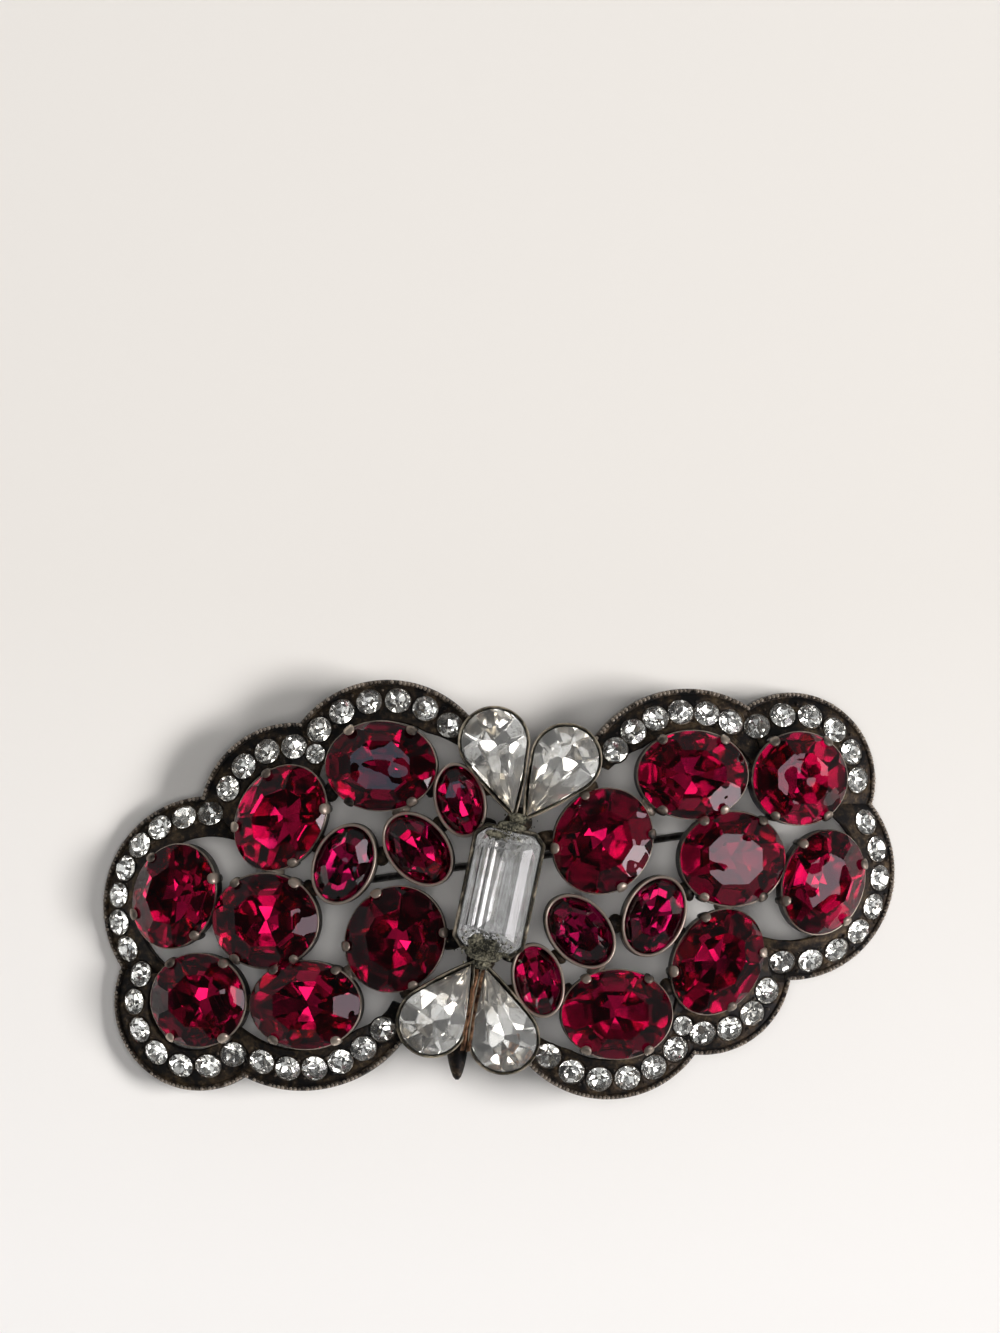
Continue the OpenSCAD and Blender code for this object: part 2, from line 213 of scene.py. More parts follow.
SPARKLES = [(20, 22, 8), (70, 14, 5), (112, 26, 7), (155, 16, 9), (205, 26, 5), (250, 15, 8), (300, 26, 6),
            (338, 12, 8), (10, 55, 4), (130, 58, 5), (250, 52, 4)]
softbox("shadow_maker", -3, 39, 2.6, (0.95, 0.82), 31.0, "diffuse", (1.0, 0.99, 0.98))
softbox("over_the_table", 0, 89, 0.8, (0.32, 0.32), 7.0, "diffuse")
softbox("key", -22, 33, 0.7, (0.22, 0.36), 6.5, "glossy glass", (1.0, 0.95, 0.98))
softbox("high_window", 160, 78, 0.8, (0.08, 0.10), 1.1, "glossy", (0.66, 0.76, 1.0))
softbox("high_lamp", -15, 66, 0.8, (0.08, 0.10), 3.2, "glossy", (1.0, 0.84, 0.92))
softbox("lilac_card", -3, 55, 0.8, (0.085, 0.07), 2.8, "glossy", (1.0, 0.76, 0.87))
softbox("low_card", -36, 17, 0.8, (0.10, 0.08), 4.2, "glossy", (1.0, 0.88, 0.95))
softbox("side_card", 13, 21, 0.8, (0.09, 0.08), 3.6, "glossy", (1.0, 0.84, 0.95))
for azimuth, elevation, radiance in SPARKLES:
    softbox("sparkle", azimuth, elevation, 0.7, (0.24, 0.2), radiance, "glass")


# The border: ten scalloped lobes of blackened brass plate that slope outwards, five to a wing, each with
# sunk seats for its stones and a raised edge. A small plate fills each wing's cusp. The large cups, given
# as x, y, half length, half width and turn, hide the inner edge of the plates.
ARCH_RADIUS, GIRDLE_HEIGHT = 128, 9.7
DECK_DROP, PLATE_W, PLATE_T = 0.9, 4.2, 1.1
BORDER_STONE_R, CUSP_STONE_R = 1.3, 0.98
EDGE_FROM, EDGE_TO = 48, 321
Lobe = namedtuple("Lobe", "x y radius slope ring first last stones")
LOBES = [
    [Lobe(-11.4, 9.9, 11.1, 20, 9.1, 46, 138, 6), Lobe(-20.9, 7, 9.7, 20, 7.3, 89, 155, 4),
     Lobe(-29.8, -1.8, 11.1, 28, 9.35, 88, 207, 8), Lobe(-30.9, -11.5, 8.8, 25, 6.4, 153, 308, 7),
     Lobe(-20.2, -7.1, 13.1, 20, 10.9, 249, 321, 6)],
    [Lobe(-11.1, 10.1, 10.9, 20, 8.9, 47, 139, 6), Lobe(-20.9, 7.6, 9, 20, 6.8, 88, 158, 4),
     Lobe(-30, -1.7, 10.9, 28, 9.1, 83, 213, 8), Lobe(-30, -10.9, 8.8, 25, 6.65, 180, 305, 6),
     Lobe(-19.3, -8.5, 11.6, 20, 9.3, 243, 324, 6)],
]
CUSP_STONE = (-18.5, 13.6)
CUSP_PLATE = [(-20.8, 11), (-15.6, 13.4), (-17.4, 16.2), (-20.6, 15.2)]
LARGE_CUPS = [(-11.8, 12.4, 5.6, 4.5, 0), (-21.9, 7.2, 5.6, 4.35, 59), (-32.6, -0.7, 5.35, 4.25, 72),
              (-23.4, -3.1, 5.4, 4.8, 0), (-10.4, -4.9, 5.45, 4.9, 60), (-30.2, -11.1, 4.95, 4.7, 0),
              (-19.4, -11.5, 5.65, 4.45, 0)]


def rise(x):
    """Height of the arch that the red stones' girdles lie on."""
    return GIRDLE_HEIGHT - ARCH_RADIUS + sqrt(ARCH_RADIUS ** 2 - x ** 2)


def moved(x, y, z):
    return Matrix.Translation((x, y, z))


def turned(degrees, axis="Z"):
    return Matrix.Rotation(radians(degrees), 4, axis)


def wing(side):
    """The left wing is side 0, and the right one, side 1, is it by half a turn."""
    return turned(180 * side)


def on_arch(x, y, turn, side):
    lean = degrees(asin(x / ARCH_RADIUS))
    return wing(side) @ moved(x, y, rise(x)) @ turned(lean, "Y") @ turned(turn)


def put(points, at):
    """Moves an array of points by a matrix."""
    at = np.array(at)
    return points @ at[:3, :3].T + at[:3, 3]


class Shape:
    """Points in mm and their faces. worn is 1 where handling has rubbed the metal bright."""

    def __init__(self):
        self.points, self.faces, self.worn, self.count = [], [], [], 0

    def band(self, rings, worn=0.0, at=None, caps=True):
        """Joins rings of as many points each by quads, and closes the first and the last."""
        rings = np.asarray(rings, float)
        many, n = rings.shape[:2]
        faces = [(j * n + i, j * n + (i + 1) % n, (j + 1) * n + (i + 1) % n, (j + 1) * n + i)
                 for j in range(many - 1) for i in range(n)]
        if caps:
            faces += [tuple(reversed(range(n))), tuple(range((many - 1) * n, many * n))]
        points = rings.reshape(-1, 3)
        worn = np.repeat(worn, n) if np.ndim(worn) == 1 else np.ravel(worn)
        self.points.append(points if at is None else put(points, at))
        self.worn.append(np.broadcast_to(worn, len(points)))
        self.faces += [[i + self.count for i in face] for face in faces]
        self.count += len(points)

    def mesh(self, name, angle=None):
        """A smooth mesh, but sharp where its faces meet at more than the angle."""
        mesh = bpy.data.meshes.new(name)
        mesh.from_pydata((np.concatenate(self.points) * MM).tolist(), [], self.faces)
        mesh.attributes.new("worn", "FLOAT", "POINT").data.foreach_set("value", np.concatenate(self.worn))
        bm = bmesh.new()
        bm.from_mesh(mesh)
        bmesh.ops.recalc_face_normals(bm, faces=bm.faces[:])
        for face in bm.faces:
            face.smooth = True
        if angle is not None:
            for edge in bm.edges:
                if len(edge.link_faces) == 2 and edge.calc_face_angle(0) > radians(angle):
                    edge.smooth = False
        bm.to_mesh(mesh)
        bm.free()
        return mesh

    def piece(self, name, finish, angle=None, **kept):
        piece(name, self.mesh(name, angle), finish, **kept)


def piece(name, mesh, finish=None, slot="setting_metal", stands_for="setting"):
    """Puts a finished mesh on the brooch's one body."""
    if finish:
        mesh.materials.append(finish.material)
    made = add_object(name, mesh)
    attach(made, "root")
    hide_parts(stands_for)


def plate_level(lobe, u):
    """Height of a lobe's plate over the plane that touches the arch at its centre."""
    return -DECK_DROP - (u - lobe.radius + PLATE_W) * tan(radians(lobe.slope))


def on_plate(lobe, degrees, side, u, z):
    """A place on a lobe's slope, at distance u from its centre and z over the arch's plane there."""
    return on_arch(lobe.x, lobe.y, degrees, side) @ moved(u, 0, z) @ turned(lobe.slope, "Y")


def stone_angles(lobe):
    return [lobe.first + (lobe.last - lobe.first) * i / (lobe.stones - 1) for i in range(lobe.stones)]


def seats(side):
    """Where a wing's border stones sit, each with its radius."""
    found = [(on_plate(lobe, a, side, lobe.ring, plate_level(lobe, lobe.ring)), BORDER_STONE_R)
             for lobe in LOBES[side] for a in stone_angles(lobe)]
    return found + [(on_arch(*CUSP_STONE, 0, side) @ moved(0, 0, -DECK_DROP), CUSP_STONE_R)]


def heading(x, y):
    return degrees(atan2(y, x))


def corner(lobe, other, u, turn, to):
    """Angle, near to, at which a lobe's plate meets its neighbour's, at distance u from the lobe's centre."""
    apart = hypot(other.x - lobe.x, other.y - lobe.y)
    along = (lobe.radius ** 2 - other.radius ** 2 + apart ** 2) / (2 * apart)
    half = degrees(acos(max(-1.0, min(1.0, along / u))))
    angle = heading(other.x - lobe.x, other.y - lobe.y) + turn * half
    return to + (angle - to + 180) % 360 - 180


def lobe_ends(lobes, i, u):
    """Angles that lobe i runs between, at distance u from its centre."""
    lobe = lobes[i]
    start = corner(lobe, lobes[i - 1], u, 1, lobe.first) if i else EDGE_FROM - 18
    end = corner(lobe, lobes[i + 1], u, -1, lobe.last) if i < len(lobes) - 1 else EDGE_TO + 16
    return start, end


def clear_of_cups(x, y):
    """How far a point of the wing is outside the nearest large cup."""
    far = []
    for cx, cy, a, b, turn in LARGE_CUPS:
        c, s = compass(turn)
        k = hypot(((x - cx) * c + (y - cy) * s) / a, ((y - cy) * c - (x - cx) * s) / b)
        far.append((k - 1) * (a + b) / 2)
    return min(far)


def sunk(points, sunk_seats):
    """Lowers a plate's points into the bowls of its stones, in three passes since the bowls touch."""
    points = points.copy()
    for at, r in sunk_seats * 3:
        turn, place = np.array(at.to_3x3()), np.array(at.translation)
        local = (points - place) @ turn
        far = np.hypot(local[..., 0], local[..., 1])
        bowl = np.interp(far, [0, r, r + 0.05, r + 0.2, r + 0.21], [-0.95, -0.25, -0.1, 0.1, 9])
        z = local[..., 2]
        local[..., 2] = np.where(np.abs(z) < 1.8, np.minimum(z, bowl), z)
        points = local @ turn.T + place
    return points


# Where no cup is near, a plate ends HUG inside its stones, and at a wing's two ends it narrows by TAPER.
# The milgrain runs along point CREST of the raised edge's profile.
GRID, RIM_W, CREST, HUG, TAPER, CUSP_PLATE_T = 0.16, 0.6, 4, 0.4, 1.3, 1.28
EDGE_PROFILE = [(-0.56, 0.0), (-0.52, 0.14), (-0.42, 0.24), (-0.3, 0.27), (-0.18, 0.22), (-0.06, 0.12),
                (0.0, -0.06), (0.0, -0.9), (-0.12, -1.08), (-0.3, -1.1)]
border = Shape()
crests = []
for side in (0, 1):
    lobes = LOBES[side]
    wing_seats = seats(side)
    for i, lobe in enumerate(lobes):
        stations = ceil(radians(lobe.last - lobe.first + 30) * lobe.ring / GRID)
        hug = lobe.ring - BORDER_STONE_R - HUG
        at = on_arch(lobe.x, lobe.y, 0, side)
        first, last = lobe_ends(lobes, i, lobe.radius - 0.5)
        rows = []
        for k in range(stations + 1):
            angle = first + (last - first) * k / stations
            c, s = compass(angle)
            space = clear_of_cups(lobe.x + hug * c, lobe.y + hug * s)
            inner = hug - (hug - lobe.radius + PLATE_W) * (1 - min(1, max(0, (space - 0.5) / 0.8)))
            inner += TAPER * min(1, max(0, (angle - EDGE_TO + 3) / 19, (EDGE_FROM + 2 - angle) / 20))
            raised = float(EDGE_FROM < angle < EDGE_TO)
            flat = np.linspace(inner, lobe.radius - RIM_W, ceil((PLATE_W - RIM_W) / GRID))
            across = [(inner, -PLATE_T), (inner, -0.2)] + [(u, 0) for u in flat[1:]]
            across += [(lobe.radius + u, max(z, 0) * raised + min(z, 0)) for u, z in EDGE_PROFILE]
            row = []
            for u, z in across:
                start, end = lobe_ends(lobes, i, max(u, lobe.radius - PLATE_W))
                c, s = compass(start + (end - start) * k / stations)
                row.append((u * c, u * s, plate_level(lobe, u) + z))
            rows.append(row)
        rows = np.array(rows)
        worn = np.full(rows.shape[:2], 0.17)
        worn[:, -len(EDGE_PROFILE) + 2:-4] = 0.28
        worn[:, -4:] = worn[:, 0] = 0
        crests.append(put(rows[:, -len(EDGE_PROFILE) + CREST], at))
        rows = sunk(put(rows, at), wing_seats)
        rows[..., 2] = np.maximum(rows[..., 2], 0)
        border.band(rows, worn)
    a, b, c, d = (np.array(corner) for corner in CUSP_PLATE)
    high = rise(CUSP_STONE[0]) - DECK_DROP - 0.02
    rows = []
    for s in np.linspace(0, 1, 32):
        left, right = a + (d - a) * s, b + (c - b) * s
        top = [(*(left + (right - left) * t), high) for t in np.linspace(0, 1, 36)]
        rows.append([(*left, high - CUSP_PLATE_T), *top, (*right, high - CUSP_PLATE_T)])
    border.band(sunk(put(np.array(rows), wing(side)), wing_seats))

blackened = Finish("blackened_brass")
rubbed = blackened.painted("worn")
clouds, crumbs = blackened.noise(0.0022, 4), blackened.noise(0.0006, 5, 0.7)
grit = blackened.noise(0.00016, 3)
rub = (rubbed * 1.3 + crumbs * 1.1 - 0.9).between(0.0, 0.55)
brown = (clouds * 0.6 + crumbs * 0.5).between(0.49, 0.64)
gold = (clouds * 0.5 + crumbs * 0.7).between(0.65, 0.73)
tarnish = (brown * 0.85).mix((0.018, 0.017, 0.017), (0.088, 0.062, 0.040))
tarnish = (gold * 0.45).mix(tarnish, (0.19, 0.135, 0.075))
blackened.surface(
    Base_Color=(rub * 0.85).mix(tarnish, (0.46, 0.39, 0.32)), Metallic=0.75,
    Roughness=0.5 - 0.16 * rub + 0.16 * (crumbs - 0.5),
    Normal=(crumbs * 0.7 + grit * 0.5).bump(0.00010, 0.55))
border.piece("border_plates", blackened, 50)


# Milgrain: fine beads rolled along the crest of the border's raised edge, a little uneven and rubbed.
def node_group(name, sockets):
    """A Geometry Nodes tree with named inputs, as a Net, with what each input gives."""
    tree = bpy.data.node_groups.new(name, "GeometryNodeTree")
    sockets = {"Geometry": "Geometry", **sockets}
    for label, kind in sockets.items():
        tree.interface.new_socket(label, in_out="INPUT", socket_type="NodeSocket" + kind)
    tree.interface.new_socket("Geometry", in_out="OUTPUT", socket_type="NodeSocketGeometry")
    net = Net(tree)
    entry = tree.nodes.new("NodeGroupInput")
    return net, {label: Value(net, entry.outputs[label]) for label in sockets}


def give(net, geometry, material):
    """Ends a tree: real points and faces, smooth, in one material."""
    real = net.node("GeometryNodeRealizeInstances", {"Geometry": geometry})
    smooth = net.node("GeometryNodeSetShadeSmooth", {"Geometry": real})
    finished = net.node("GeometryNodeSetMaterial", {"Geometry": smooth, "Material": material})
    net.set(net.tree.nodes.new("NodeGroupOutput"), {"Geometry": finished})


def grown(name, start, net, **inputs):
    """Runs a tree on a starting mesh and returns the plain mesh that it makes."""
    carrier = add_object(name, start)
    modifier = carrier.modifiers.new(name, "NODES")
    modifier.node_group = net.tree
    for item in net.tree.interface.items_tree:
        if item.name in inputs:
            modifier[item.identifier] = inputs[item.name]
    graph = bpy.context.evaluated_depsgraph_get()
    mesh = bpy.data.meshes.new_from_object(carrier.evaluated_get(graph), depsgraph=graph)
    carrier.modifiers.clear()
    bpy.data.objects.remove(carrier)
    mesh.name = name
    return mesh


milgrain, gets = node_group("milgrain", {
    "Pitch": "Float", "Bead": "Float", "Seed": "Int", "Material": "Material"})


def by_chance(low, high):
    return milgrain.node("FunctionNodeRandomValue", {2: low, 3: high, "Seed": gets["Seed"]},
                         {"data_type": "FLOAT"}, 1)


path = milgrain.node("GeometryNodeMeshToCurve", {"Mesh": gets["Geometry"]})
spots = milgrain.node("GeometryNodeResampleCurve", {"Curve": path, "Length": gets["Pitch"]},
                      {"mode": "LENGTH"})
bead = milgrain.node("GeometryNodeMeshUVSphere", {"Segments": 8, "Rings": 5, "Radius": gets["Bead"]})
beads = milgrain.node("GeometryNodeInstanceOnPoints", {
    "Points": spots, "Instance": bead, "Scale": by_chance(0.8, 1.15)})
beads = milgrain.node("GeometryNodeStoreNamedAttribute", {
    "Geometry": beads, "Name": "worn", "Value": by_chance(0.3, 1.0)},
    {"data_type": "FLOAT", "domain": "INSTANCE"})
give(milgrain, beads, gets["Material"])

start = bpy.data.meshes.new("crests")
crest_points = [line * (0.9985, 0.999, 1) + (0, 0, 0.03) for line in crests]
edges, count = [], 0
for line in crest_points:
    edges += [(count + k, count + k + 1) for k in range(len(line) - 1)]
    count += len(line)
start.from_pydata((np.concatenate(crest_points) * MM).tolist(), edges, [])
piece("milgrain_edge", grown("milgrain_edge", start, milgrain, Pitch=0.42 * MM, Bead=0.19 * MM, Seed=3,
                             Material=blackened.material))


# Collars and shot: a thin collar of metal pushed up round each border stone, and small round grains of
# shot soldered between the stones, which hold them.
set_out, gets = node_group("set_out", {"Shape": "Object", "Material": "Material"})
model = set_out.node("GeometryNodeObjectInfo", {"Object": gets["Shape"]}, output=4)
turn, size = (set_out.node("GeometryNodeInputNamedAttribute", {"Name": name}, {"data_type": "FLOAT_VECTOR"})
              for name in ("turn", "size"))
copies = set_out.node("GeometryNodeInstanceOnPoints", {
    "Points": gets["Geometry"], "Instance": model, "Rotation": turn, "Scale": size})
give(set_out, copies, gets["Material"])


def repeated(name, shape, places, finish):
    """Sets a shape, made round the origin, at each place: a matrix in mm and a size along each axis."""
    points = bpy.data.meshes.new(name + "_places")
    points.from_pydata([tuple(at.translation * MM) for at, _ in places], [], [])
    for label, values in (("turn", [at.to_euler("XYZ") for at, _ in places]),
                          ("size", [size for _, size in places])):
        points.attributes.new(label, "FLOAT_VECTOR", "POINT").data.foreach_set(
            "vector", [c for value in values for c in value])
    model = add_object(name + "_model", shape.mesh(name + "_model"))
    mesh = grown(name, points, set_out, Shape=model, Material=finish.material)
    bpy.data.objects.remove(model)
    piece(name, mesh)


def circle(n, radius=1, z=0.0):
    return [(radius * cos(2 * pi * i / n), radius * sin(2 * pi * i / n), z)
            for i in range(n)]


# The collars round the border stones are so much narrower than the seats that they hold the girdles. The
# grains lie in two rows, each so far outside the stones' ring and of such a size.
COLLAR_FIT = 1.06
GRAINS = ((0.95, 0.24), (-0.85, 0.22))
rng = random.Random(11)
collar = Shape()
collar.band([circle(28, 1 + r, z) for r, z in
             [(0.01, -0.25), (0.015, -0.02), (0.035, 0.03), (0.07, 0.03), (0.11, -0.06), (0.12, -0.25)]],
            [0, 0.1, 0.35, 0.4, 0.1, 0], caps=False)
collars, grains = [], []
for side in (0, 1):
    collars += [(at, (r / COLLAR_FIT, r / COLLAR_FIT, 1)) for at, r in seats(side)]
    for lobe in LOBES[side]:
        half = (lobe.last - lobe.first) / (lobe.stones - 1) / 2
        for a in stone_angles(lobe)[:-1]:
            for out, size in GRAINS:
                u = lobe.ring + out
                at = on_plate(lobe, a + half + rng.uniform(-1.8, 1.8), side, u + rng.uniform(-0.08, 0.08),
                              plate_level(lobe, u) + 0.02)
                k = size * rng.uniform(0.5, 1.1)
                if rng.random() < 0.7:
                    grains.append((at, (k, k * rng.uniform(0.8, 1.2), k * 0.9)))
repeated("stone_collars", collar, collars, blackened)


def ball(rings, n, worn=0.0):
    """A small round shape of few faces, radius 1."""
    made = Shape()
    levels = [pi * (j + 0.5) / rings - pi / 2 for j in range(rings)]
    made.band([circle(n, cos(a), sin(a)) for a in levels], worn)
    return made


repeated("shot_grains", ball(5, 8, 0.3), grains, blackened)


# Large cups: closed cups of thin brass, soldered to their neighbours. The stone covers the cup, whose rim
# shows as a thin worn line, and four claws are bent over the girdle, some rubbed brighter than others.
CUP_DEPTH, CLAW_TURN = 2.9, 55


def ellipse(a, b, n=64):
    """Outline of an oval, at a number of insets."""
    return lambda inset, z: [((a - inset) * c, (b - inset) * s, z) for c, s, _ in circle(n)]


def thin_cup(shape, outline, profile, at):
    """A cup made of its outline at a number of insets and heights, from its inside floor to its back.
    Each row of the profile is (inset, z, worn)."""
    shape.band([outline(inset, z) for inset, z, _ in profile], [worn for _, _, worn in profile], at)


CUP_PROFILE = [(0.9, -2.5, 0), (0.45, -2.3, 0), (0.36, -1.9, 0), (0.35, -0.55, 0), (0.25, -0.36, 0.3),
               (0.1, -0.3, 0.6), (0, -0.26, 0.7), (-0.06, -0.32, 0.6), (-0.05, -0.5, 0.3), (0, -0.7, 0.1),
               (0, -2.3, 0), (0.12, -2.7, 0.1), (0.45, -CUP_DEPTH, 0)]
# The bend of a claw: x outwards, z, half its width and half its thickness.
bend = [(0.14, -2.2, 0.34, 0.14), (0.18, -1.4, 0.42, 0.16), (0.2, -0.5, 0.5, 0.18),
        (0.17, 0.05, 0.54, 0.19), (0.07, 0.32, 0.56, 0.19), (-0.1, 0.48, 0.55, 0.18),
        (-0.3, 0.57, 0.48, 0.16), (-0.46, 0.61, 0.34, 0.12), (-0.54, 0.62, 0.16, 0.06)]
rings = []
for k, (x, z, wide, thick) in enumerate(bend):
    (x0, z0), (x1, z1) = [bend[j][:2] for j in (max(k - 1, 0), min(k + 1, len(bend) - 1))]
    along = hypot(x1 - x0, z1 - z0)
    nx, nz = (z1 - z0) / along, -(x1 - x0) / along
    rings.append([(x + nx * thick * c, wide * s, z + nz * thick * c) for c, s, _ in circle(12)])
claw, rubbed_claw = Shape(), Shape()
claw.band(rings, [0, 0, 0.1, 0.3, 0.5, 0.45, 0.45, 0.5, 0.5])
rubbed_claw.band(rings, [0, 0, 0.2, 0.6, 1, 1.1, 1.1, 1.1, 1])

claw_x, claw_y = compass(CLAW_TURN)
large_cups, claws, rubbed_claws = Shape(), [], []
for side in (0, 1):
    for x, y, a, b, turn in LARGE_CUPS:
        at = on_arch(x, y, turn, side)
        thin_cup(large_cups, ellipse(a, b), CUP_PROFILE, at)
        for end, across in ((-1, -1), (-1, 1), (1, -1), (1, 1)):
            c, s = end * claw_x, across * claw_y
            spot = (at @ moved(c * (a - 0.05), s * (b - 0.05), 0)
                    @ turned(heading(c / a, s / b) + rng.uniform(-6, 6)))
            k = rng.uniform(0.85, 1.1)
            kind = rubbed_claws if rng.random() < 0.35 else claws
            kind.append((spot, (1, k, rng.uniform(0.92, 1.05))))

thin_brass = Finish("thin_brass")
rubbed = thin_brass.painted("worn")
crumbs, grit = thin_brass.noise(0.0007, 5, 0.65), thin_brass.noise(0.0002, 3)
patches = thin_brass.noise(0.0035, 2)
rub = (rubbed * 1.1 + crumbs * 0.8 + patches * 1.4 - 1.35).between(0.0, 0.6)
tarnish = (crumbs.between(0.5, 0.66) * 0.8).mix((0.030, 0.027, 0.025), (0.10, 0.066, 0.042))
thin_brass.surface(
    Base_Color=(rub * 0.92).mix(tarnish, (0.60, 0.50, 0.41)), Metallic=0.8,
    Roughness=0.46 - 0.14 * rub + 0.1 * (grit - 0.5), Normal=(crumbs * 0.6 + grit * 0.4).bump(0.00007, 0.4))
large_cups.piece("large_cups", thin_brass)
repeated("claws", claw, claws, thin_brass)
repeated("rubbed_claws", rubbed_claw, rubbed_claws, thin_brass)


# Small cups: bezels with a rolled rim round the six smaller red stones, rubbed to a pale pinkish brass.
SMALL_CUPS = [(-3.9, 9, 3.8, 2.6, 104), (-8.1, 4.1, 4.2, 3.05, 131), (-15.5, 2.6, 4.25, 3.1, 66)]
BEZEL_PROFILE = [(0.9, -2.2, 0), (0.42, -2.05, 0), (0.34, -1.7, 0), (0.33, 0.1, 0.3), (0.3, 0.26, 0.8),
                 (0.2, 0.34, 1), (0.1, 0.33, 1), (0.02, 0.25, 0.9), (0, 0.1, 0.5), (0, -2.1, 0.1),
                 (0.1, -2.45, 0.1), (0.4, -2.6, 0)]
bezels = Shape()
for side in (0, 1):
    for x, y, a, b, turn in SMALL_CUPS:
        thin_cup(bezels, ellipse(a, b, 56), BEZEL_PROFILE, on_arch(x, y, turn, side))
bezels.piece("small_bezels", thin_brass)


# Solder: soft grey-gold joints run between the cups, which are counted through the large and the small
# ones, and bars of it, given as x, y, length and turn, tie the wings to the body.
SOLDERED = [(0, 1), (0, 8), (0, 7), (1, 9), (1, 3), (3, 9), (3, 2), (3, 6), (8, 9), (8, 7), (6, 4), (6, 5)]
BODY_BARS = [(-1.4, 10.4, 1.6, -20), (-1.7, 6.3, 2.2, 10), (-4.7, -5, 1.8, 20), (-9, -10.1, 1.8, -50)]


def reach(cup, degrees):
    """Distance from an oval's centre to its edge in a direction."""
    _, _, a, b, turn = cup
    t = radians(degrees - turn)
    return a * b / hypot(b * cos(t), a * sin(t))


def blob(shape, at, size, seed, worn=0.2):
    """An uneven lump of solder, size in mm along each axis of its place."""
    lump = random.Random(seed)
    waves = [(round(lump.uniform(1, 3)), lump.uniform(0, 6), lump.uniform(1, 3), lump.uniform(0, 6))
             for _ in range(3)]
    rings = []
    for j in range(9):
        e = pi * (j + 0.5) / 9 - pi / 2
        ring = []
        for i in range(16):
            t = 2 * pi * i / 16
            k = 1 + sum(0.09 * sin(p * t + q) * cos(r * e + s) for p, q, r, s in waves)
            ring.append((k * size[0] * cos(e) * cos(t), k * size[1] * cos(e) * sin(t),
                         k * size[2] * sin(e)))
        rings.append(ring)
    shape.band(rings, worn, at)


solder = Shape()
cups = LARGE_CUPS + SMALL_CUPS
for side in (0, 1):
    for n, (i, j) in enumerate(SOLDERED):
        s, t = cups[i], cups[j]
        way = heading(t[0] - s[0], t[1] - s[1])
        begin, stop = reach(s, way) - 0.25, dist(s[:2], t[:2]) - reach(t, way) + 0.25
        middle, half = (begin + stop) / 2, max(stop - begin, 1.0) / 2
        x, y = compass(way)
        spot = on_arch(s[0] + middle * x, s[1] + middle * y, way, side) @ moved(0, 0, -1.1)
        blob(solder, spot, (half + 0.15, 0.95, 0.8), n + 20 * side, 0.2 + 0.35 * (n % 3 == 1))
    for n, (x, y, length, turn) in enumerate(BODY_BARS):
        blob(solder, on_arch(x, y, turn, side) @ moved(0, 0, -1.2), (length / 2 + 0.3, 1.0, 1.0), 50 + n)
solder.piece("solder_joints", blackened)


# Pear collets: four deep collets, one to a stone, with thin dark rims that lean in a little over the
# girdles. Each pear is given by the middle of its head and by its tip, as x and y.
PEARS = [(-0.5, 14.8, 1.6, 7), (6.7, 13.1, 2.35, 6.85)]
PEAR_R, PEAR_LEVEL = 3.6, GIRDLE_HEIGHT + 0.5


def pear(r, length):
    """Outline of a pear with its round end at the middle and its tip towards X, at a number of insets."""
    def at_inset(inset, z=0.0):
        k = r - inset
        tip = length * k / r
        half = acos(k / tip)
        ring = [(k * cos(t), k * sin(t), z)
                for t in (half + (2 * pi - 2 * half) * i / 35 for i in range(36))]
        x0, y0 = k * cos(half), k * sin(half)
        side = [(x0 + (tip - x0) * s, y0 * (1 - s) + 0.2 * k * s * (1 - s), z)
                for s in (0.2, 0.4, 0.6, 0.8)]
        return ring + [(x, -y, z) for x, y, z in side] + [(tip - 0.02 * k, 0, z)] + side[::-1][:3]
    return at_inset


def at_pear(x, y, tx, ty, side):
    return wing(side) @ moved(x, y, PEAR_LEVEL) @ turned(heading(tx - x, ty - y))


PEAR_PROFILE = [(0.8, -2.9, 0), (0.4, -2.8, 0), (0.27, -2.5, 0), (0.25, -0.15, 0), (0.22, 0.0, 0.1),
                (0.12, 0.13, 0.3), (0.05, 0.15, 0.6), (-0.01, 0.06, 0.4), (-0.02, -0.15, 0.1), (0, -3.2, 0),
                (0.1, -3.5, 0.05), (0.4, -3.6, 0)]
collets = Shape()
for side in (0, 1):
    for x, y, tx, ty in PEARS:
        thin_cup(collets, pear(PEAR_R, hypot(tx - x, ty - y)), PEAR_PROFILE, at_pear(x, y, tx, ty, side))

olive_brass = Finish("olive_brass")
rubbed = olive_brass.painted("worn")
crumbs, grit = olive_brass.noise(0.0006, 5, 0.65), olive_brass.noise(0.00018, 3)
patches = olive_brass.noise(0.003, 2)
rub = (rubbed + crumbs * 0.9 + patches * 1.7 - 1.5).between(0.0, 0.5)
tarnish = crumbs.between(0.45, 0.65).mix((0.05, 0.046, 0.036), (0.125, 0.104, 0.066))
olive_brass.surface(
    Base_Color=(rub * 0.9).mix(tarnish, (0.66, 0.57, 0.43)), Metallic=0.75,
    Roughness=0.48 - 0.12 * rub, Normal=(crumbs * 0.6 + grit * 0.4).bump(0.00008, 0.5))
collets.piece("pear_collets", olive_brass)


# Centre collet and tail: a tall box collet with cut corners, and under the lower pears the body's tail,
# a rounded finger of the same blackened brass.
CENTRE_L, CENTRE_W, CENTRE_CORNER, CENTRE_TURN = 12.8, 7.3, 1.1, 78.2
CENTRE_LEVEL = GIRDLE_HEIGHT + 1.5
CENTRE_PROFILE = [(0.9, -3.7, 0), (0.5, -3.6, 0), (0.36, -3.3, 0), (0.35, -0.1, 0), (0.3, 0.05, 0),
                  (0.2, 0.18, 0.15), (0.1, 0.2, 0.3), (0.0, 0.12, 0.2), (-0.02, -0.2, 0.1), (0, -4.0, 0),
                  (0.12, -4.4, 0.05), (0.5, -4.5, 0)]
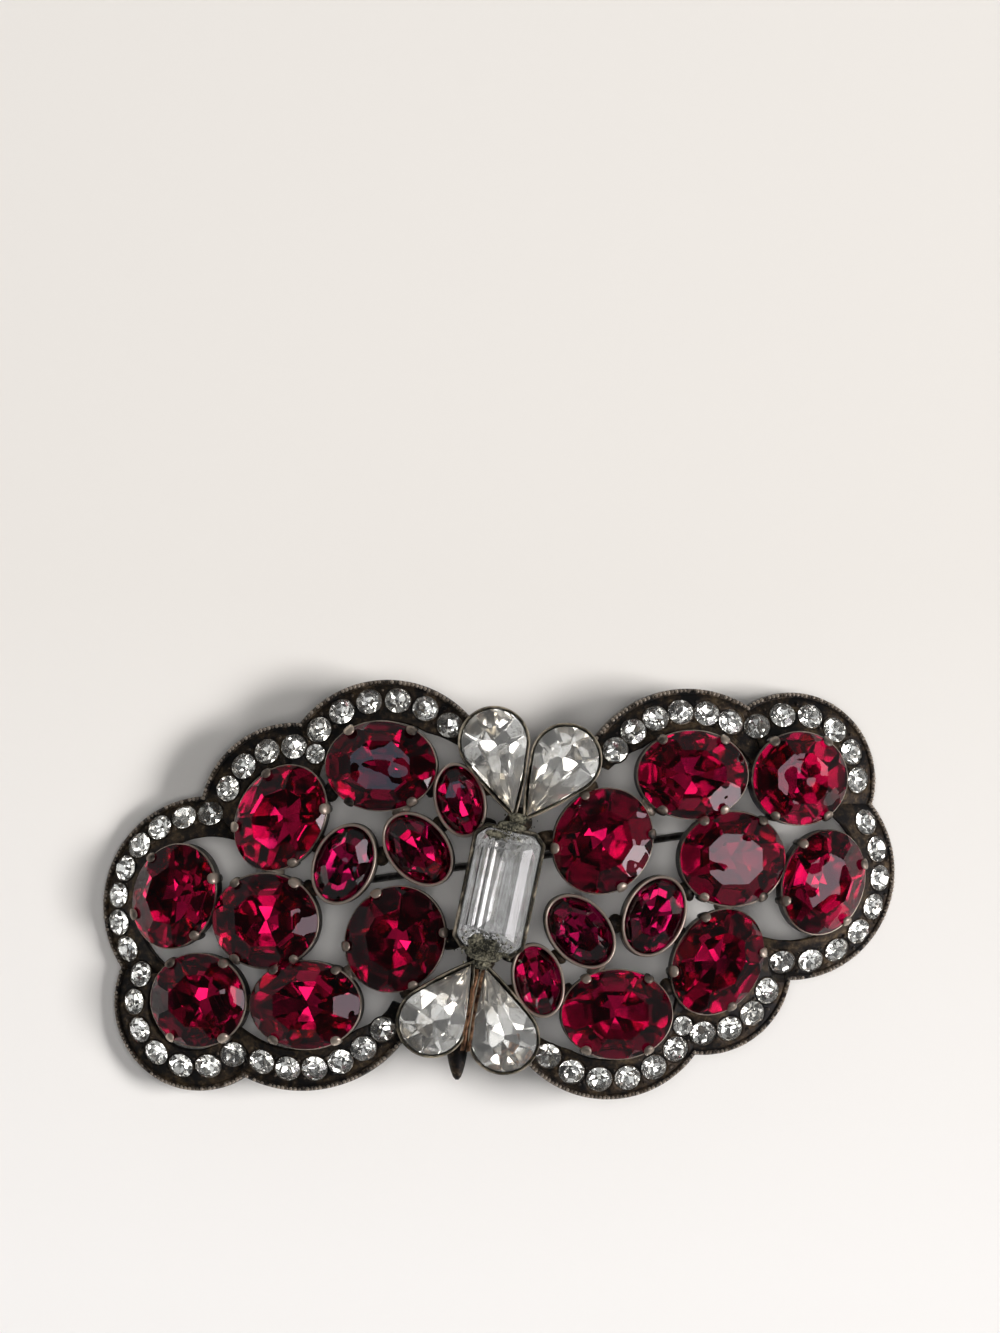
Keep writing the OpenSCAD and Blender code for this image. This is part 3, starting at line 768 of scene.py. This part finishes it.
# Each row of the tail is the distance along it, the radius and how worn it is.
TAIL_PROFILE = [(0, 0.9, 0), (0.1, 1.12, 0), (1.2, 1.15, 0), (2.6, 1.1, 0), (3.6, 0.98, 0.1),
                (4.5, 0.8, 0.15), (5.2, 0.6, 0.2), (5.7, 0.4, 0.2), (5.97, 0.16, 0.2)]


def cut_corners(length, width, corner, soft=0.12):
    """Outline of a rectangle with cut corners, each corner a little rounded, at a number of insets."""
    def at_inset(inset, z=0.0):
        l, w, c = length / 2 - inset, width / 2 - inset, corner - inset * 0.586
        points = [(l, w - c), (l - c, w), (c - l, w), (-l, w - c),
                  (-l, c - w), (c - l, -w), (l - c, -w), (l, c - w)]
        ring = []
        for k, p in enumerate(points):
            for q in (points[k - 1], points[(k + 1) % 8]):
                d = dist(p, q)
                step = min(soft, d / 3) / d
                ring.append((p[0] + (q[0] - p[0]) * step, p[1] + (q[1] - p[1]) * step, z))
        return ring
    return at_inset


at_centre = moved(0, 0, CENTRE_LEVEL) @ turned(CENTRE_TURN)
centre, tail = Shape(), Shape()
thin_cup(centre, cut_corners(CENTRE_L, CENTRE_W, CENTRE_CORNER), CENTRE_PROFILE, at_centre)
centre.piece("centre_collet", olive_brass, 35)

tail.band([[(r * c, -along, 0.9 * r * s) for c, s, _ in circle(28)] for along, r, _ in TAIL_PROFILE],
          [worn for _, _, worn in TAIL_PROFILE], moved(-4.2, -13, GIRDLE_HEIGHT - 1.9))
for side in (0, 1):
    blob(tail, wing(side) @ moved(1.9, 6.9, 8.4), (1.5, 1.3, 1.7), 70 + side)
tail.piece("tail", blackened)


# Crust: old glue and verdigris, crumbly and olive-grey, packed in clots and crumbs round the ends of the
# centre stone and the tips of the pears.
crust = Finish("olive_crust", Roughness=0.75, Metallic=0.2)
mottle, stains = crust.noise(0.0003, 5, 0.7), crust.noise(0.0012, 3)
mottled = (mottle * 0.7 + stains * 0.5).between(0.54, 0.72)
crust.surface(Base_Color=mottled.mix((0.022, 0.022, 0.017), (0.26, 0.24, 0.17)),
              Normal=mottle.bump(0.00016, 0.9))
clots = Shape()
for n, (x, y, level, size) in enumerate([
        (-2.2, -4.9, 0.95, (0.75, 1.0, 0.4)), (-0.9, -5.5, 0.92, (0.8, 1.1, 0.4)),
        (-1.6, -6.3, 0.6, (0.7, 2.0, 0.5)), (-0.3, 5.6, 1.0, (0.4, 1.1, 0.3)),
        (1.3, 6.4, 0.3, (0.5, 1.4, 0.35)), (-1.7, -7.3, -0.3, (0.6, 0.8, 0.5)),
        (1.9, 7.1, -0.6, (0.7, 0.9, 0.5))]):
    blob(clots, moved(x, y, CENTRE_LEVEL + level) @ turned(CENTRE_TURN), size, 90 + n)
clots.piece("crust_clots", crust)

# Crumbs lie round a middle, spread along and across the centre stone at a level, so many, in a range of
# sizes, and no higher than its table.
TABLE_LEVEL = 1.48
low_x, low_y = compass(CENTRE_TURN)
CRUMBS = [((-low_x * 5.9, -low_y * 5.9), (0.7, 3.0), 0.5, 160, (0.05, 0.17)),
          ((-1.5, -5.3), (1.3, 2.6), 1.3, 260, (0.04, 0.15)),
          ((0.6, 5.6), (0.7, 2.6), 1.2, 110, (0.04, 0.14)),
          ((1.9, 7.0), (0.6, 1.6), -0.2, 60, (0.05, 0.15)),
          ((-1.8, -7.1), (0.5, 1.3), 0.1, 60, (0.05, 0.15))]
rng = random.Random(5)
crumb_places = []
for middle, spread, level, count, sizes in CRUMBS:
    at = moved(*middle, 0) @ turned(CENTRE_TURN)
    for _ in range(count):
        spot = at @ Vector((rng.uniform(-1, 1) * spread[0], rng.gauss(0, 0.42) * spread[1],
                            CENTRE_LEVEL + level + rng.gauss(0, 0.1)))
        k = rng.uniform(*sizes)
        spot.z = min(spot.z, CENTRE_LEVEL + TABLE_LEVEL - k)
        place = moved(*spot) @ turned(rng.uniform(0, 360)) @ turned(rng.uniform(0, 60), "X")
        crumb_places.append((place, (k, k * rng.uniform(0.6, 1), k * rng.uniform(0.5, 0.9))))
repeated("crust_crumbs", ball(3, 6), crumb_places, crust)


# Copper strips: two thin strips of copper side by side, that fill the gap between the two lower pears.
STRIP_TOP, STRIP_END = Vector((-1.9, -7.9, 0)), Vector((-3.35, -16.0, 0))
copper = Finish("old_copper", Metallic=0.85)
stain = copper.noise(0.0008, 5, 0.65)
copper.surface(Base_Color=stain.between(0.42, 0.64).mix((0.07, 0.035, 0.02), (0.50, 0.27, 0.15)),
               Roughness=0.3 + 0.25 * stain, Normal=stain.bump(0.00008, 0.6))
strips = Shape()
for side in (-0.23, 0.23):
    across = Vector((-8.1, 1.45, 0)).normalized() * side
    rings = []
    for k in range(9):
        p = STRIP_TOP.lerp(STRIP_END, k / 8) + across * (1.25 + 0.2 * cos(3 * k))
        rings.append([tuple(p + Vector((0.25 * c, 0.05 * c, PEAR_LEVEL - 0.05 + 0.24 * s)))
                      for c, s, _ in circle(12)])
    strips.band(rings, 0.3)
strips.piece("copper_strips", copper)


# Pin, hinge and catch: a plain steel wire behind the body, rolled to an eye on a riveted hinge, its point
# lying in an open hook. Hinge and hook hang on posts under the cups.
PIN_Z, HINGE, CATCH = 0.9, (21.5, 5.7), (-19.8, -0.1)
WIRE_R, COIL_R, EYE_W, HOOK_R = 0.375, 0.54, 1.4, 0.8
POST_TOP = GIRDLE_HEIGHT - 3.9
pin_turn = heading(HINGE[0] - CATCH[0], HINGE[1] - CATCH[1])
pin_length = dist(HINGE, CATCH)


def at_pin(x, y):
    return moved(x, y, PIN_Z) @ turned(pin_turn)


def wire(shape, path, radii, at, worn=0.0):
    """A round wire along a path of points in mm, with its radius at each."""
    path = [Vector(p) for p in path]
    side = (path[1] - path[0]).normalized().orthogonal().normalized()
    rings = []
    for k, (p, r) in enumerate(zip(path, radii)):
        along = (path[min(k + 1, len(path) - 1)] - path[max(k - 1, 0)]).normalized()
        side = (side - along * side.dot(along)).normalized()
        other = along.cross(side)
        rings.append([tuple(p + (side * c + other * s) * r) for c, s, _ in circle(14)])
    shape.band(rings, worn, at)


def block(shape, low, high, bevel, at):
    """A rounded block between two corners."""
    (x0, y0, z0), (x1, y1, z1) = low, high
    mx, my = (x0 + x1) / 2, (y0 + y1) / 2
    rings = []
    for inset, z in ((bevel, z0), (bevel * 0.3, z0 + bevel * 0.3), (0, z0 + bevel),
                     (0, z1 - bevel), (bevel * 0.3, z1 - bevel * 0.3), (bevel, z1)):
        outline = cut_corners(x1 - x0, y1 - y0, bevel, bevel * 0.3)(inset, z)
        rings.append([(mx + x, my + y, z) for x, y, _ in outline])
    shape.band(rings, 0.1, at)


eye = [(COIL_R * c, 0, COIL_R * s) for c, s in (compass(-90 + 300 * k / 24) for k in range(24, -1, -1))]
shank = [(-0.8 - s * (pin_length - 0.4), 0, -COIL_R + COIL_R * min(1, s * 12))
         for s in (0, 0.02, 0.05, 0.09, 0.3, 0.6, 1)]
tip = [(-pin_length - 0.8 - 0.6 * k, 0, 0) for k in (0.1, 1, 2, 3)]
pin = Shape()
wire(pin, eye + shank + tip, [0.3] * len(eye) + [0.33, 0.36] + [WIRE_R] * 6 + [0.3, 0.18, 0.06],
     at_pin(*HINGE))
steel = Finish("pin_steel", Metallic=1.0)
drawn = steel.noise(0.0012, 4, 0.6)
steel.surface(Base_Color=drawn.between(0.4, 0.7).mix((0.16, 0.155, 0.15), (0.07, 0.06, 0.055)),
              Roughness=0.34 + 0.2 * drawn, Normal=steel.noise(0.0003).bump(0.00003, 0.4))
pin.piece("pin_wire", steel, slot="pin_wire", stands_for="pin")

fittings = Shape()
for side in (-1, 1):
    y = side * (EYE_W / 2 + 0.4)
    block(fittings, (-1, y - 0.3, 0.3 - PIN_Z), (1, y + 0.3, POST_TOP - PIN_Z + 0.4), 0.2, at_pin(*HINGE))
wire(fittings, [(0, y, 0) for y in (-1.45, -1.35, -0.5, 0.5, 1.35, 1.45)],
     [0.2, 0.36, 0.33, 0.33, 0.36, 0.2], at_pin(*HINGE), 0.5)
block(fittings, (-0.7, -0.45, 0.9), (0.7, 0.45, POST_TOP - PIN_Z + 0.4), 0.15, at_pin(*CATCH))
hook = [(HOOK_R * y, HOOK_R * z) for y, z in map(compass, range(90, 325, 12))]
rings = []
for k, (y, z) in enumerate(hook):
    thick = 0.25 * min(1, (len(hook) - k) / 3 + 0.3)
    ny, nz = y / HOOK_R, z / HOOK_R
    rings.append([(x, y + ny * t, z + nz * t) for x, t in
                  ((-0.7, -thick * 0.6), (-0.6, -thick), (0.6, -thick), (0.7, -thick * 0.6),
                   (0.7, thick * 0.6), (0.6, thick), (-0.6, thick), (-0.7, thick * 0.6))])
fittings.band(rings, 0.2, at_pin(*CATCH))
# Nothing reaches below the table.
fittings.points = [np.maximum(points, (-99, -99, 0)) for points in fittings.points]
fittings.piece("hinge_and_catch", blackened, 40)


# Red stones: deep wine paste pressed and ground as ovals, with a table, eight wide crown facets, small ones
# at the girdle between them, and a foiled back of eight mains and eight girdle facets. Three are darker.
CROWN, PAVILION, SMALL_PAVILION, GIRDLE_T, TABLE = 1.3, 2.3, 1.9, 0.1, 0.54


def lie(node):
    """Where a cut stone lies, as a matrix in mm: the middle of its girdle's top, X along the stone and
    towards a pear's tip, Z to its table. With it, its half length and half width."""
    mesh = nodes[node].data
    facings = {}
    for p in mesh.polygons:
        key = tuple(round(c, 3) for c in p.normal)
        facings[key] = facings.get(key, 0) + p.area * (p.normal.z > 0.5)
    up = np.array(max(facings, key=facings.get))
    up /= np.linalg.norm(up)
    points = np.unique(np.round(np.array([v.co for v in mesh.vertices]) / MM, 4), axis=0)
    height = points @ up
    flat = points - np.outer(height, up)
    lowest = points[height < height.min() + 0.004].mean(0)
    far = np.linalg.norm(flat - (lowest - up * (lowest @ up)), axis=1)
    level = height[far > 0.97 * far.max()].max()
    ring = points[np.abs(height - level) < 0.004]
    origin = lowest + up * (level - lowest @ up)
    spread = ring - ring.mean(0)
    along = np.linalg.eigh(spread.T @ spread)[1][:, -1]
    reaches = (ring - origin) @ along
    low, high = reaches.min(), reaches.max()
    if -low > high * 1.01 or (abs(low + high) < 0.02 and along[0] < 0):
        along = -along
    along -= up * (along @ up)
    along /= np.linalg.norm(along)
    across = np.cross(up, along)
    axes = np.stack([along, across, up], 1).tolist()
    at = Matrix([(*row, o) for row, o in zip(axes, origin)] + [(0, 0, 0, 1)])
    return at, ((ring - origin) @ along).max(), np.abs((ring - origin) @ across).max()


def ground(outline, top, bottom, cuts):
    """A blank of that outline, with each cut's plane ground into it. A cut is (normal, distance)."""
    bm = bmesh.new()
    low = [bm.verts.new((x, y, bottom)) for x, y, _ in outline]
    high = [bm.verts.new((x, y, top)) for x, y, _ in outline]
    n = len(outline)
    bm.faces.new(reversed(low))
    bm.faces.new(high)
    for i in range(n):
        bm.faces.new((low[i], low[(i + 1) % n], high[(i + 1) % n], high[i]))
    for normal, distance in cuts:
        cut = bmesh.ops.bisect_plane(
            bm, geom=bm.verts[:] + bm.edges[:] + bm.faces[:], dist=1e-5, plane_co=normal * distance,
            plane_no=normal, clear_outer=True)["geom_cut"]
        edges = [e for e in cut if isinstance(e, bmesh.types.BMEdge)]
        if len(edges) > 2:
            bmesh.ops.contextual_create(bm, geom=edges)
    bmesh.ops.remove_doubles(bm, verts=bm.verts[:], dist=2e-3)
    bmesh.ops.dissolve_degenerate(bm, edges=bm.edges[:], dist=1e-3)
    bmesh.ops.recalc_face_normals(bm, faces=bm.faces[:])
    return bm


def facet(way, far, climb, run, level=0, tilt=None):
    """Plane that starts on the side of way, far from the middle at a level, and goes climb up over run
    inwards. tilt is how far the grinder was off."""
    slope = abs(climb) / run
    normal = Vector((way[0] * slope, way[1] * slope, copysign(1, climb))).normalized()
    if tilt:
        normal = (normal + Vector((*tilt, 0))).normalized()
    return normal, normal.dot(Vector((way[0] * far, way[1] * far, level)))


def cut_stone(outline, ways, crown, down, table, lot, off, more=()):
    """Grinds a stone. ways lists ((x, y), reach, main or not) round it: mains run up to the table and down
    to the point under the stone, and the others, which are steeper, dress the girdle between two mains."""
    cuts = [(Vector((0, 0, 1)), crown)]
    for way, far, main in ways:
        above, below = [(lot.gauss(0, off), lot.gauss(0, off)) for _ in range(2)]
        cuts.append(facet(way, far, crown * (1 if main else 1.45), far * (1 - table), 0, above))
        normal, distance = facet(way, far, -down * (1 if main else 1.5), far, 0, below)
        cuts.append((normal, distance - GIRDLE_T * normal.z))
    return ground(outline, crown, -GIRDLE_T - down, cuts + list(more))


def oval_ways(a, b):
    ways = []
    for i in range(16):
        t = pi * i / 8
        x, y = cos(t) / a, sin(t) / b
        k = hypot(x, y)
        ways.append(((x / k, y / k), 1 / k, i % 2 == 0))
    return ways


def stones(node, cut, finishes, slot, aged=lambda co: 0.0):
    """Joins the ground stones of a node, each (bmesh, place), with the foil on every facet that looks down."""
    name = node + "_cut"
    joined = bmesh.new()
    ages = []
    for bm, at in cut:
        ages += [aged(v.co) for v in bm.verts]
        for f in bm.faces:
            f.material_index = int(f.normal.z < -0.05)
            f.smooth = False
        mesh = bpy.data.meshes.new(name)
        bm.to_mesh(mesh)
        bm.free()
        mesh.transform(Matrix.Scale(MM, 4) @ at)
        joined.from_mesh(mesh)
    bmesh.ops.triangulate(joined, faces=joined.faces[:])
    mesh = bpy.data.meshes.new(name)
    joined.to_mesh(mesh)
    joined.free()
    mesh.attributes.new("aged", "FLOAT", "POINT").data.foreach_set("value", ages)
    for finish in finishes:
        mesh.materials.append(finish.material)
    piece(name, mesh, None, slot, node)


pastes = []
for label, red in (("red_paste", (0.40, 0.024, 0.10)), ("deep_red_paste", (0.23, 0.016, 0.075))):
    paste = Finish(label, Base_Color=red, Transmission_Weight=1.0, IOR=1.6)
    depth_of_red = paste.node("ShaderNodeVolumeAbsorption", {"Color": (0.8, 0.1, 0.5), "Density": 320})
    paste.set(paste.tree.nodes["Material Output"], {"Volume": depth_of_red})
    paste.surface(Roughness=paste.noise(0.0015, 4).between(0.62, 0.8) * 0.06,
                  Normal=paste.noise(0.004, 1).bump(0.00016))
    pastes.append(paste)
DEEP_STONES = ("left_small_oval_3", "right_small_oval_2", "right_small_oval_3")
# Degrees that some stones lean by. The others lean by chance.
LEANING = {"left_oval_1": -3, "right_oval_4": 2.5, "right_oval_2": -3}
red_foil = Finish("foil_behind_red", Metallic=1.0)
tarnish = red_foil.noise(0.003, 3)
red_foil.surface(Base_Color=tarnish.between(0.42, 0.68).mix((0.88, 0.72, 0.86), (0.50, 0.34, 0.62)),
                 Roughness=0.04 + 0.07 * tarnish.between(0.5, 0.8))

for name in sorted(n for n in nodes if "oval" in n):
    lot = random.Random(name)
    at, a, b = lie(name)
    down = SMALL_PAVILION if "small" in name else PAVILION
    bm = cut_stone(ellipse(a, b, 56)(0, 0), oval_ways(a, b), CROWN, down, TABLE, lot, 0.014)
    wobble = turned(lot.gauss(0, 1.2), "X") @ turned(lot.gauss(0, 1.2), "Y")
    if name in LEANING:
        wobble = turned(LEANING[name], "X")
    stones(name, [(bm, at @ wobble)], (pastes[name in DEEP_STONES], red_foil), "red_glass")


# Clear stones: four pears, the long centre stone cut in steps, and the border's small round ones, all of
# colourless paste with silvered backs that have greyed, gone yellow-brown towards the pears' tips, and
# worn to dark streaks along the centre stone.
clear_paste = Finish("clear_paste", Base_Color=(0.95, 0.95, 0.93), Transmission_Weight=0.955, IOR=1.6)
scuffed_paste = Finish("scuffed_clear_paste", Base_Color=(0.96, 0.955, 0.94), Transmission_Weight=0.915,
                       IOR=1.6)
for paste in (clear_paste, scuffed_paste):
    paste.surface(Roughness=paste.noise(0.0012, 4).between(0.6, 0.8) * 0.08)
silvering = Finish("silvered_back")
spots, cloud = silvering.noise(0.0007, 4, 0.65), silvering.noise(0.003, 2)
grey = spots.between(0.58, 0.72).mix((0.93, 0.92, 0.90), (0.38, 0.37, 0.33))
aged = silvering.painted("aged")
silvering.surface(
    Base_Color=(aged * 0.9 + cloud.between(0.55, 0.75) * 0.3).mix(grey, (0.36, 0.28, 0.16)),
    Roughness=0.03 + 0.08 * spots, Metallic=1.0)
streaked_back = Finish("streaked_back", Metallic=0.8)
streaks = streaked_back.noise(0.0006, 4, 0.6, 0.05, CENTRE_TURN)
blots = streaked_back.noise(0.0022, 3)
lines = streaked_back.noise(0.0009, 3, 0.6, 0.03, CENTRE_TURN)
dull = (streaks * 0.7 + blots * 0.4).between(0.5, 0.68).mix((0.96, 0.96, 0.97), (0.40, 0.39, 0.36))
streaked_back.surface(
    Base_Color=(lines.between(0.57, 0.62) * 0.9).mix(dull, (0.04, 0.04, 0.035)),
    Roughness=0.12 + 0.25 * streaks, Normal=streaks.bump(0.00008, 0.6))

PEAR_PAVILION, PEAR_TABLE = 2.6, 0.48
# Each step of the centre stone goes up or down by so much over so much inwards, and starts so far inside
# the girdle, at a level from it.
STONE_GAP, STONE_CORNER, STONE_TOP, STONE_BOTTOM = 0.42, 0.9, 1.5, -3.3
STEPS = ((1.08, 0.8, 0, 0), (0.42, 0.9, 0.8, 1.08),
         (-1.3, 0.8, 0, -GIRDLE_T), (-1.2, 1.1, 0.8, -1.4), (-0.7, 1.5, 1.9, -2.6))


def fluted_tip(tip, r, lot):
    """Long narrow facets that open like a fan from a pear's tip, on the crown and on the back."""
    spread = r / sqrt(tip ** 2 - r ** 2)
    fan = []
    for slope, up, start in ((0.34, 1, 0), (0.42, -1, -GIRDLE_T)):
        for t in (-0.95, -0.82, -0.6, -0.36, -0.12, 0.12, 0.36, 0.6, 0.82, 0.95):
            normal = Vector((slope, slope * t / spread, up * sqrt(1 - t * t))).normalized()
            normal = (normal + Vector((lot.gauss(0, 0.01), lot.gauss(0, 0.03), 0))).normalized()
            fan.append((normal, normal.dot(Vector((tip - 0.02, 0, start)))))
    return fan


for name in sorted(n for n in nodes if "pear" in n):
    lot = random.Random(name)
    at, tip_x, r = lie(name)
    ways = [(compass(degrees * sign), r, degrees % 36 == 0) for degrees in range(72, 181, 18)
            for sign in ((1,) if degrees == 180 else (1, -1))]
    bm = cut_stone(pear(r, tip_x)(0), ways, CROWN, PEAR_PAVILION, PEAR_TABLE, lot, 0.03,
                   fluted_tip(tip_x, r, lot))
    stones(name, [(bm, at)], (scuffed_paste, silvering), "clear_glass",
           lambda co: min(1.0, max(0.0, co.x / tip_x * 1.9 - 0.55)))

half_l, half_w = CENTRE_L / 2 - STONE_GAP, CENTRE_W / 2 - STONE_GAP
diagonal = sqrt(0.5)
corner_far = (half_l + half_w - STONE_CORNER) * diagonal
cuts = [(Vector((0, 0, 1)), STONE_TOP)]
for x, y, far in ((1, 0, half_l), (0, 1, half_w), (diagonal, diagonal, corner_far)):
    for sx, sy in ((1, 1), (-1, 1), (1, -1), (-1, -1)) if x and y else ((1, 1), (-1, -1)):
        cuts += [facet((x * sx, y * sy), far - start, climb, run, level)
                 for climb, run, start, level in STEPS]
bm = ground(cut_corners(2 * half_l, 2 * half_w, STONE_CORNER)(0), STONE_TOP, STONE_BOTTOM, cuts)
stones("centre_stone", [(bm, at_centre)], (scuffed_paste, streaked_back), "clear_glass")

for side, label in ((0, "left"), (1, "right")):
    lot = random.Random(label)
    cut = []
    for seat, r in seats(side):
        r = r - 0.01
        bm = cut_stone(circle(24, r), oval_ways(r, r), 0.5, 0.8, 0.52, lot, 0.03)
        turn = turned(lot.uniform(0, 45))
        cut.append((bm, seat @ turn @ turned(lot.gauss(0, 3), "X") @ turned(lot.gauss(0, 3), "Y")))
    stones(label + "_border_stones", cut, (clear_paste, silvering), "clear_glass")
